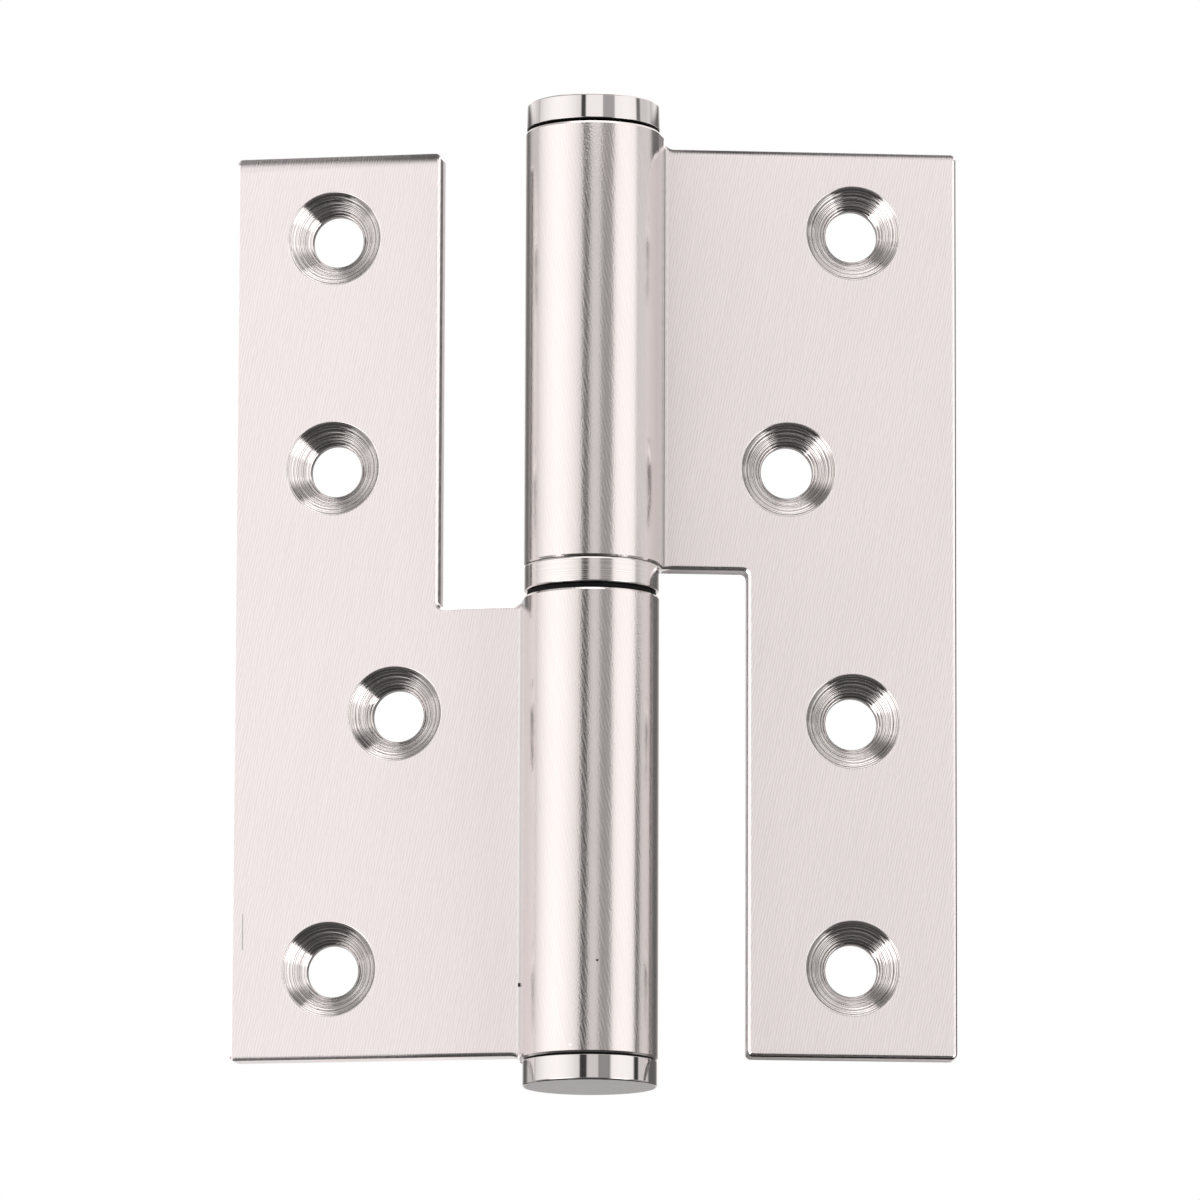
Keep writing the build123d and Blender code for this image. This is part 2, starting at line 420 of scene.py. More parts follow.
class Shop:
    """Makes each finish's material once and holds the two geometry trees."""

    def __init__(self) -> None:
        """Start with no materials and build the trees."""
        self._made: dict[str, bpy.types.Material] = {}
        self.lathe = self._lathe_tree()
        self.countersinks = self._countersink_tree()

    def finish(self, finish: Finish) -> bpy.types.Material:
        """Material of a finish."""
        if finish.name not in self._made:
            self._made[finish.name] = finish.material()
        return self._made[finish.name]

    @staticmethod
    def _tree(name: str, centres: Sequence[str] = ()) -> tuple[bpy.types.NodeTree, Graph, Sock]:
        """A geometry tree that takes a profile to turn.

        Args:
            name: the tree's name.
            centres: names of further inputs, for places.

        Returns:
            The tree, its graph and the first output of its input node.
        """
        tree = bpy.data.node_groups.new(name, "GeometryNodeTree")
        graph = Graph(tree)
        for label, kind in (*PROFILE_INPUTS.items(), *((centre, "Vector") for centre in centres)):
            tree.interface.new_socket(label, in_out="INPUT", socket_type="NodeSocket" + kind)
        tree.interface.new_socket("Geometry", in_out="OUTPUT", socket_type="NodeSocketGeometry")
        return tree, graph, graph.node("NodeGroupInput")

    @staticmethod
    def _close(graph: Graph, given: Sock, shape: Sock) -> None:
        """Hand on a shape as plain mesh in the given finish."""
        shape = graph.node("GeometryNodeRealizeInstances", {}, {"Geometry": shape})
        shape = graph.node("GeometryNodeSetMaterial", {}, {"Geometry": shape, "Material": given.other("Finish")})
        graph.node("NodeGroupOutput", {}, {0: shape})

    def _lathe_tree(self) -> bpy.types.NodeTree:
        """Turns a profile of edges in the XZ plane about Z."""
        tree, graph, given = self._tree("lathe")
        axle = given.other("Axle")
        length = graph.node("GeometryNodeSplineParameter", {}, {}, "Length")
        profile = graph.node("GeometryNodeMeshToCurve", {}, {0: given})
        profile = graph.node(
            "GeometryNodeStoreNamedAttribute",
            {"data_type": "FLOAT", "domain": "POINT"},
            {"Geometry": profile, "Name": TURNING, "Value": length / MM},
        )
        shift = graph.node("ShaderNodeCombineXYZ", {}, {"X": axle * -1.0})
        profile = graph.node(
            "GeometryNodeTransform",
            {},
            {"Geometry": profile, "Translation": shift, "Rotation": (math.pi / 2, 0.0, 0.0)},
        )
        circle = graph.node(
            "GeometryNodeCurvePrimitiveCircle", {}, {"Resolution": given.other("Segments"), "Radius": axle}
        )
        turned = graph.node("GeometryNodeCurveToMesh", {}, {"Curve": circle, "Profile Curve": profile})
        turned = graph.node("GeometryNodeMergeByDistance", {}, {"Geometry": turned, "Distance": 1e-7})
        self._close(graph, given, turned)
        return tree

    def _countersink_tree(self) -> bpy.types.NodeTree:
        """Turns one countersink's profile and sets it into a leaf at four centres, mouth towards -Y."""
        centres = [f"Centre {number}" for number in range(1, 5)]
        tree, graph, given = self._tree("countersinks", centres)
        sink = graph.node(
            "GeometryNodeGroup", {"node_tree": self.lathe}, {name: given.other(name) for name in PROFILE_INPUTS}
        )
        points = [
            graph.node("GeometryNodePoints", {}, {"Count": 1, "Position": given.other(centre)}) for centre in centres
        ]
        points = graph.node("GeometryNodeJoinGeometry", {}, {0: points})
        placed = graph.node(
            "GeometryNodeInstanceOnPoints",
            {},
            {"Points": points, "Instance": sink, "Rotation": (math.pi / 2, 0.0, 0.0)},
        )
        self._close(graph, given, placed)
        return tree


def rounded(corners: Sequence[tuple[float, float, float]], closed: bool, steps: int = 6) -> list[Point]:
    """Line through corners that are rounded one by one.

    Args:
        corners: radius, height and rounding of each corner.
        closed: whether the last corner joins the first.
        steps: segments of a round.

    Returns:
        The points of the line.
    """
    points: list[Point] = []
    for index, (x, z, radius) in enumerate(corners):
        here = Vector((x, z))
        if radius == 0 or (not closed and index in (0, len(corners) - 1)):
            points.append((x, z))
            continue
        back = (Vector(corners[index - 1][:2]) - here).normalized()
        ahead = (Vector(corners[(index + 1) % len(corners)][:2]) - here).normalized()
        half = back.angle(ahead) / 2
        centre = here + (back + ahead).normalized() * (radius / math.sin(half))
        start, end = here + back * (radius / math.tan(half)), here + ahead * (radius / math.tan(half))
        sweep = (start - centre).angle(end - centre)
        for step in range(steps + 1):
            share = step / steps
            arm = (start - centre) * math.sin((1 - share) * sweep) + (end - centre) * math.sin(share * sweep)
            points.append(tuple(centre + arm / math.sin(sweep)))
    return points


def shaped(
    name: str, profile: Sequence[Point], closed: bool, tree: bpy.types.NodeTree, inputs: dict[str, Any]
) -> bpy.types.Mesh:
    """Run a geometry tree on a profile.

    Args:
        name: name of the mesh.
        profile: radius and height of its points, in millimetres.
        closed: whether the profile is a loop.
        tree: the tree to run.
        inputs: the tree's named inputs.

    Returns:
        The finished mesh, in metres.
    """
    edges = [(i, i + 1) for i in range(len(profile) - 1)] + ([(len(profile) - 1, 0)] if closed else [])
    line = bpy.data.meshes.new(name + "_profile")
    line.from_pydata([(x * MM, 0.0, z * MM) for x, z in profile], edges, [])
    maker = added(name + "_maker", line)
    modifier = maker.modifiers.new("shape", "NODES")
    modifier.node_group = tree
    for item in tree.interface.items_tree:
        if item.in_out == "INPUT" and item.name in inputs:
            modifier[item.identifier] = inputs[item.name]
    mesh = evaluated(maker, name)
    maker.modifiers.remove(modifier)
    bpy.data.objects.remove(maker)
    return mesh


def evaluated(thing: bpy.types.Object, name: str) -> bpy.types.Mesh:
    """Plain mesh of an object with its modifiers applied."""
    depsgraph = bpy.context.evaluated_depsgraph_get()
    mesh = bpy.data.meshes.new_from_object(thing.evaluated_get(depsgraph), depsgraph=depsgraph)
    mesh.name = name
    return mesh


def finished(name: str, mesh: bpy.types.Mesh, sharp: float = 25.0) -> bpy.types.Object:
    """Smooth a mesh with weighted normals and put it in the scene.

    Args:
        name: the piece's name.
        mesh: its mesh, in place, in metres.
        sharp: edges past this angle stay sharp, in degrees.

    Returns:
        The piece's object.
    """
    work = bmesh.new()
    work.from_mesh(mesh)
    bmesh.ops.recalc_face_normals(work, faces=work.faces)
    work.to_mesh(mesh)
    work.free()
    mesh.shade_smooth()
    mesh.set_sharp_from_angle(angle=math.radians(sharp))
    piece = added(name, mesh)
    modifier = piece.modifiers.new("normals", "WEIGHTED_NORMAL")
    modifier.keep_sharp = True
    piece.data = evaluated(piece, name)
    piece.modifiers.clear()
    return piece


def place(piece: bpy.types.Object, body: Body, slot: Slot, node: str) -> None:
    """Let a piece ride on its body in the place of a CAD node."""
    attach(piece, body.value)
    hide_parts(node)
    log.info("%s: %d faces on %s", piece.name, len(piece.data.polygons), body.value)


class EdgeShape(Enum):
    """How a sheet edge is broken."""

    ROUND = "round"
    CHAMFER = "chamfer"
    DROOP = "droop"


@dataclass(frozen=True)
class EdgeRoll:
    """Break of a sheet edge: how far it reaches in from the edge, how deep it goes, and its shape."""

    width: float
    depth: float
    shape: EdgeShape = EdgeShape.ROUND

    def inset(self, share: float) -> Point:
        """How far in from the edge and down from the face it is at a share of its way out, both up to 1."""
        if self.shape is EdgeShape.ROUND:
            turn = math.pi / 2 * share
            return (1 - math.sin(turn), 1 - math.cos(turn))
        return (1 - share, share if self.shape is EdgeShape.CHAMFER else share**2)


@dataclass(frozen=True)
class RimPoint:
    """A point of the blank's outline with the direction out of the sheet."""

    along: float
    level: float
    out_along: float
    out_level: float
    front: EdgeRoll
    back: EdgeRoll
    shear: float                   # how plainly the edge shows its cut colour and its painted shade line


@dataclass
class RolledLeaf:
    """One leaf, cut as a flat blank, countersunk, and rolled at its inner end into a knuckle.

    A place on the blank is its distance along the sheet from the leaf's outer edge and its level. The leaf is
    shaped along +X with its face towards -Y. The lower leaf is then mirrored and the upper one swung open.
    """

    body: Body
    holes: tuple[Point, ...]       # reach from the pin axis, and level
    knuckle_end: float             # level of the knuckle at the capped end
    knuckle_seat: float            # level of the knuckle at the bearing
    arm_edge: float                # level of the arm's inner edge
    swing: float = 0.0             # degrees open past flat

    half_height: float = 63.5
    reach: float = 50.8
    strip_width: float = 29.0
    thickness: float = 4.0
    setback: float = 1.0           # face behind the plane of the pin axis
    bore: float = 5.35
    reverse_bend: float = 4.0
    tip_angle: float = 344.0
    seam: float = 0.15
    corner: float = 0.8
    step_run: float = 1.3          # length of the hollow from the arm to the knuckle
    hole_radius: float = 3.6
    sink_radius: float = 6.45
    sink_rim: float = 0.22
    sink_land: float = 0.25        # depth of the rounded mouth over the cone
    sink_slope: float = 49.0       # half the cone's angle
    hole_break: float = 0.2
    segments: int = 96

    top_roll: EdgeRoll = EdgeRoll(2.1, 0.46, EdgeShape.DROOP)
    top_cut_and_shade: float = 0.25        # how plainly the edges show their cut colour and painted shade line: upward, then outer and bottom ones
    outer_cut_and_shade: float = 0.4
    side_roll: EdgeRoll = EdgeRoll(0.5, 0.32, EdgeShape.CHAMFER)
    rim_roll: EdgeRoll = EdgeRoll(0.2, 0.2, EdgeShape.CHAMFER)
    back_roll: EdgeRoll = EdgeRoll(0.25, 0.25)
    rim_back_roll: EdgeRoll = EdgeRoll(0.28, 0.16, EdgeShape.CHAMFER)

    def __post_init__(self) -> None:
        """Work out the fold from the sizes."""
        self.middle = self.bore + self.thickness / 2
        self.mid_depth = self.setback + self.thickness / 2
        self.bend_depth = self.mid_depth + self.reverse_bend
        self.bend_x = math.sqrt((self.middle + self.reverse_bend) ** 2 - self.bend_depth**2)
        self.bend_angle = math.degrees(math.atan2(self.bend_depth, self.bend_x))
        self.flat_end = self.reach - self.bend_x
        self.bend_end = self.flat_end + self.reverse_bend * math.radians(90 - self.bend_angle)
        self.roll_end = self.bend_end + self.middle * math.radians(self.tip_angle - self.bend_angle)
        self.blank_end = self.roll_end + self.tip_length(0.0)
        tip_x = self.fold(self.blank_end, self.thickness / 2)[0]
        self.root = self.reach - max(self.bend_x, tip_x) - self.seam
        self.up = 1.0 if self.body is Body.LOWER else -1.0

    def tip_length(self, lift: float) -> float:
        """Length of the roll's straight tip at a lift from the sheet's middle."""
        start = (self.middle + lift) * math.sin(math.radians(self.tip_angle))
        return (self.setback - self.seam - start) / math.cos(math.radians(self.tip_angle))

    def fold(self, along: float, lift: float) -> Point:
        """Where a place of the blank lies once it is rolled.

        Args:
            along: distance from the outer edge along the middle of the sheet.
            lift: distance from the middle of the sheet, positive towards the back.

        Returns:
            Its x and y.
        """
        if along <= self.flat_end:
            return (self.reach - along, self.mid_depth + lift)
        if along <= self.bend_end:
            turn = math.radians(270) - (along - self.flat_end) / self.reverse_bend
            arm = self.reverse_bend - lift
            return (self.bend_x + arm * math.cos(turn), self.bend_depth + arm * math.sin(turn))
        turn = math.radians(self.bend_angle) + (min(along, self.roll_end) - self.bend_end) / self.middle
        x, y = (self.middle + lift) * math.cos(turn), (self.middle + lift) * math.sin(turn)
        run = max(0.0, along - self.roll_end) / self.tip_length(0.0) * self.tip_length(lift)
        return (x - run * math.sin(turn), y + run * math.cos(turn))

    def columns(self) -> list[float]:
        """Places along the blank where the rolled end has a column of faces."""
        stretches = ((self.flat_end, self.bend_end, 14), (self.bend_end, self.roll_end, 153))
        along = [a + (b - a) * i / n for a, b, n in stretches for i in range(n)]
        return along + [self.roll_end + (self.blank_end - self.roll_end) * share for share in (0.0, 0.35, 0.7)]

    def outline(self) -> tuple[list[RimPoint], list[RimPoint], list[RimPoint]]:
        """Outline of the blank, written for a leaf whose arm is at the bottom.

        Returns:
            The points along the knuckle's capped end, those along its bearing end, and those round the flat leaf
            from the bearing end to the capped end.
        """
        end, seat, arm = (self.up * level for level in (self.knuckle_end, self.knuckle_seat, self.arm_edge))

        def rim(along: float, level: float, out: Point, knuckle: bool = False) -> RimPoint:
            """One point of the outline with the rolls that belong to its edge."""
            if knuckle:
                return RimPoint(along, level, *out, self.rim_roll, self.rim_back_roll, 0.0)
            upward = out[1] * self.up > 0.01
            outer = along < self.corner or self.up * level < self.corner - self.half_height
            shear = self.top_cut_and_shade if upward else self.outer_cut_and_shade if outer else 1.0
            top = upward and (self.up < 0 or level > arm + self.corner)
            return RimPoint(along, level, *out, self.top_roll if top else self.side_roll, self.back_roll, shear)

        def arc(along: float, level: float, start: float, sweep: float, hollow: bool = False) -> list[RimPoint]:
            """Rounded corner about a centre, in degrees."""
            points = []
            for step in range(7):
                turn = math.radians(start + sweep * step / 6)
                x, y, side = math.cos(turn), math.sin(turn), -1.0 if hollow else 1.0
                points.append(rim(along + self.corner * x, level + self.corner * y, (side * x, side * y)))
            return points

        def step(first: float, last: float, out: float) -> list[RimPoint]:
            """Hollow rise from the arm's edge to the knuckle's end."""
            start, points = self.root + self.seam - self.step_run, []
            for turn in (math.pi / 2 * index / 6 for index in range(7)):
                along, level = start + self.step_run * math.sin(turn), first + (last - first) * (1 - math.cos(turn))
                points.append(rim(along, level, (-math.sin(turn), out * math.cos(turn))))
            if abs(last - first) < 0.01:
                return points[:1]
            return points[:-1] + [rim(start + self.step_run, last, (-1.0, out), True)]

        high, low, r = self.half_height, -self.half_height, self.corner
        capped, seated = (
            [rim(along, level, (0.0, out), True) for along in self.columns()]
            + [rim(self.blank_end, level, (1.0, out), True)]
            for level, out in ((end, -1.0), (seat, 1.0))
        )
        flat = list(reversed(step(arm, seat, 1.0)))
        flat += arc(self.strip_width + r, arm + r, 270, -90, True)
        flat += arc(self.strip_width - r, high - r, 0, 90)
        flat += arc(r, high - r, 90, 90)
        flat += arc(r, low + r, 180, 90)
        flat += step(low, end, -1.0)
        return capped, seated, flat

    def section(self, point: RimPoint, steps: int = 5) -> list[tuple[float, float, float]]:
        """The sheet's edge at a point of the outline, from the front face to the back.

        Args:
            point: the point.
            steps: segments of each rounding.

        Returns:
            Place along the blank, level and lift of each point of the edge.
        """
        half = self.thickness / 2
        points = []
        for roll, face in ((point.front, -1.0), (point.back, 1.0)):
            side = []
            for index in range(steps + 1):
                inset, drop = roll.inset(index / steps)
                width = roll.width if abs(point.out_level) > 0.01 else self.side_roll.width
                sideways = min(roll.width, self.side_roll.width)
                side.append(
                    (
                        point.along - inset * sideways * point.out_along,
                        point.level - inset * width * point.out_level,
                        face * (half - roll.depth * drop),
                    )
                )
            points += side if face < 0 else list(reversed(side))
        return points

    def hole_ring(self, hole: Point, radius: float) -> list[Point]:
        """Points of a circle round a hole, on the blank."""
        turns = (2 * math.pi * index / self.segments for index in range(self.segments))
        return [(self.reach - hole[0] - radius * math.cos(t), hole[1] + radius * math.sin(t)) for t in turns]

    def sheet(self, work: bmesh.types.BMesh) -> None:
        """Write the sheet's faces, with open rings where the countersinks go, and its blank map.

        Args:
            work: the mesh that gets the faces.
        """
        mapped = work.loops.layers.uv.new(BLANK_MAP)
        sheared = work.verts.layers.float.new(SHEARED)
        places: dict[bmesh.types.BMVert, Point] = {}

        def vertex(along: float, level: float, lift: float) -> bmesh.types.BMVert:
            """Vertex at a place of the blank, folded."""
            made = work.verts.new((*self.fold(along, lift), level))
            places[made] = (self.up * along, level)
            return made

        capped, seated, flat = self.outline()
        loops = []
        for point in capped + list(reversed(seated)) + flat:
            loop = [vertex(a, self.up * level, lift) for a, level, lift in self.section(point)]
            for index, corner in enumerate(loop):
                steps = index if index < len(loop) / 2 else 2 * (len(loop) - 1 - index)
                corner[sheared] = point.shear * 2 * steps / (len(loop) - 2)
            loops.append(loop)
        count = len(loops)
        for index in range(count):
            here, ahead = loops[index], loops[(index + 1) % count]
            for k in range(len(here) - 1):
                work.faces.new((here[k], ahead[k], ahead[k + 1], here[k + 1]))
        columns = len(capped)
        for layer, radius in ((0, self.sink_radius + self.sink_rim), (-1, self.hole_radius + self.hole_break)):
            for index in range(columns - 1):
                other = 2 * columns - 1 - index
                corners = (loops[index], loops[index + 1], loops[other - 1], loops[other])
                work.faces.new([corner[layer] for corner in corners])
            lift = (-1.0 if layer == 0 else 1.0) * self.thickness / 2
            rings = [[loop[layer] for loop in loops[2 * columns - 1 :] + loops[:1]]]
            for hole in self.holes:
                rings.append([vertex(a, level, lift) for a, level in self.hole_ring(hole, radius)])
            corners = [corner for ring in rings for corner in ring]
            for triangle in tessellate_polygon([[Vector((*places[v], 0.0)) for v in ring] for ring in rings]):
                work.faces.new([corners[index] for index in triangle])
        for face in work.faces:
            for loop in face.loops:
                loop[mapped].uv = places[loop.vert]

    def sink_profile(self) -> list[Point]:
        """Countersink from the face, where the height is 0, to the back."""
        rim, land, hole, back = self.sink_rim, self.sink_land, self.hole_radius, self.hole_break
        mouth = [
            (self.sink_radius + rim * (1 - math.sin(t)), -land * (1 - math.cos(t)))
            for t in (math.pi / 2 * i / 5 for i in range(6))
        ]
        depth = land + (self.sink_radius - hole) / math.tan(math.radians(self.sink_slope))
        wall = rounded(
            (
                (self.sink_radius, -land, 0.0),
                (hole, -depth, 0.12),
                (hole, back - self.thickness, 0.0),
                (hole + back, -self.thickness, 0.0),
            ),
            False,
        )
        return mouth + wall[1:]

    def build(self, shop: Shop, sheet: Finish, sink: Finish) -> bpy.types.Object:
        """Make the leaf.

        Args:
            shop: where materials and trees come from.
            sheet: finish of the sheet.
            sink: finish of the countersinks.

        Returns:
            The leaf's object.
        """
        name = f"rolled_{self.body.value}"
        inputs = {"Axle": MM, "Segments": self.segments, "Finish": shop.finish(sink)}
        for number, (reach, level) in enumerate(self.holes, 1):
            inputs[f"Centre {number}"] = (reach * MM, self.setback * MM, level * MM)
        sinks = shaped(name + "_sinks", self.sink_profile(), False, shop.countersinks, inputs)
        work = bmesh.new()
        self.sheet(work)
        bmesh.ops.scale(work, vec=(MM,) * 3, verts=work.verts)
        sheet_faces = len(work.faces)
        work.from_mesh(sinks)
        work.faces.ensure_lookup_table()
        mapped = work.loops.layers.uv[BLANK_MAP]
        for face in work.faces[sheet_faces:]:
            face.material_index = 1
            for loop in face.loops:
                loop[mapped].uv = (self.up * (self.reach - loop.vert.co.x / MM), loop.vert.co.z / MM)
        bmesh.ops.remove_doubles(work, verts=work.verts, dist=2e-6)
        mirrored, opened = Matrix.Scale(-1, 4, (1, 0, 0)), Matrix.Rotation(math.radians(self.swing), 4, "Z")
        bmesh.ops.transform(work, matrix=mirrored if self.body is Body.LOWER else opened, verts=work.verts)
        open_edges = sum(1 for edge in work.edges if not edge.is_manifold)
        mesh = written(name, work)
        if open_edges:
            log.warning("%s has %d open edges", name, open_edges)
        mesh.materials.append(shop.finish(sheet))
        mesh.materials.append(shop.finish(sink))
        piece = finished(name, mesh)
        place(piece, self.body, Slot.SATIN, self.body.value)
        return piece


@dataclass
class TurnedPart:
    """A piece of revolution about the pin axis that takes the place of one CAD node."""

    node: str
    body: Body
    slot: Slot
    segments: int = 192
    closed: bool = False

    def outline(self) -> list[Point]:
        """Radius and height along the piece's section."""
        raise NotImplementedError

    def darken(self, mesh: bpy.types.Mesh, index: int) -> None:
        """Give a groove's faces the material of that index."""

    def build(
        self, shop: Shop, finish: Finish, end: Optional[Finish] = None, groove: Optional[Finish] = None
    ) -> bpy.types.Object:
        """Turn the piece.

        Args:
            shop: where materials and trees come from.
            finish: its finish.
            end: finish of its flat ends, where that differs.
            groove: finish inside its groove, where it has one, a near-black painted shade.

        Returns:
            The piece's object.
        """
        name = f"turned_{self.node}"
        inputs = {"Axle": MM, "Segments": self.segments, "Finish": shop.finish(finish)}
        piece = finished(name, shaped(name, self.outline(), self.closed, shop.lathe, inputs))
        if end is not None:
            piece.data.materials.append(shop.finish(end))
            for face in piece.data.polygons:
                face.material_index = int(abs(face.normal.z) > 0.95)
        if groove is not None:
            piece.data.materials.append(shop.finish(groove))
            self.darken(piece.data, len(piece.data.materials) - 1)
        place(piece, self.body, self.slot, self.node)
        return piece


@dataclass
class EndCap(TurnedPart):
    """Polished cap with a spigot driven into the end of a knuckle."""

    seat: float = 0.0              # level of the knuckle's end
    way: float = 1.0               # 1 for the top end, -1 for the bottom
    groove: float = 0.45
    height: float = 3.5
    radius: float = 9.25
    edge: float = 0.3
    shoulder: float = 7.3
    spigot_radius: float = 5.34
    spigot: float = 6.0
    lead: float = 0.6
    taper: float = 0.0             # by which the rim is slimmer at its end

    def darken(self, mesh: bpy.types.Mesh, index: int) -> None:
        """Painted shade: faces from the shoulder to the groove's outer wall take the near-black groove material."""
        for face in mesh.polygons:
            rise = self.way * (face.center.z / MM - self.seat)
            if rise < self.groove + 0.02:
                face.material_index = index

    def outline(self) -> list[Point]:
        """Spigot, shoulder, groove, rim and end face."""
        top = self.groove + self.height
        points = rounded(
            (
                (0.0, -self.spigot, 0.0),
                (self.spigot_radius - self.lead, -self.spigot, 0.1),
                (self.spigot_radius, self.lead - self.spigot, 0.1),
                (self.spigot_radius, 0.0, 0.0),
                (self.shoulder, 0.0, 0.0),
                (self.shoulder, self.groove, 0.0),
                (self.radius, self.groove, 0.12),
                (self.radius - self.taper, top, self.edge),
                (0.0, top, 0.0),
            ),
            False,
        )
        return [(x, self.seat + self.way * z) for x, z in points]


@dataclass
class HingePin(TurnedPart):
    """Ground pin, fixed in the lower knuckle, with a pointed free end."""

    bottom: float = -58.2
    step: float = -0.2             # level where the driven length ends
    top: float = 48.2
    radius: float = 5.3
    fixed_radius: float = 5.34
    point: float = 2.0

    def outline(self) -> list[Point]:
        """Section from the buried end to the point."""
        return rounded(
            (
                (0.0, self.bottom, 0.0),
                (self.fixed_radius, self.bottom, 0.3),
                (self.fixed_radius, self.step, 0.0),
                (self.radius, self.step, 0.0),
                (self.radius, self.top - self.point, 0.6),
                (self.radius - self.point, self.top, 0.5),
                (0.0, self.top, 0.0),
            ),
            False,
        )


@dataclass
class Collar(TurnedPart):
    """Flat ring on the pin between the knuckles."""

    bottom: float = 0.0
    top: float = 1.0
    inner: float = 5.35
    outer: float = 9.3
    edge: float = 0.2
    foot: float = 0.15             # rounding of the lower outer edge
    closed: bool = True

    def outline(self) -> list[Point]:
        """Section of the ring, with a steep chamfer round the top."""
        return rounded(
            (
                (self.inner, self.bottom, 0.1),
                (self.outer, self.bottom, self.foot),
                (self.outer, self.top - self.edge, 0.0),
                (self.outer - 0.6 * self.edge, self.top, 0.0),
                (self.inner, self.top, 0.1),
            ),
            True,
        )


@dataclass(frozen=True)
class SoftBox:
    """Upright panel in the tent's wall, brightest in the middle. Angles are in degrees, to the camera's right."""

    middle: float
    half: float                    # half its width
    level: float
    falloff: float = 0.0           # share of its level that is lost at the edges
    edge: float = 4.0              # width of its soft edge
    bottom: Optional[float] = None     # elevations between which it stands, where it isn't as high as the tent
    top: Optional[float] = None
    bottom_edge: float = 0.6
    top_edge: float = 6.0

    def over(self, wall: Sock, azimuth: Sock, elevation: Sock) -> Sock:
        """The wall's level with this panel in front of it.

        Args:
            wall: level of the wall so far.
            azimuth: direction round the hinge.
            elevation: direction above the horizon.

        Returns:
            The new level.
        """
        off = 180.0 - (180.0 - (azimuth - self.middle).math("ABSOLUTE")).math("ABSOLUTE")
        shown = 1 - off.step(self.half, self.edge)
        if self.bottom is not None:
            shown = shown * elevation.step(self.bottom, self.bottom_edge)
        if self.top is not None:
            shown = shown * (1 - elevation.step(self.top, self.top_edge))
        level = self.level - (off / self.half).math("POWER", 2.0) * (self.level * self.falloff)
        return wall + shown * (level - wall)


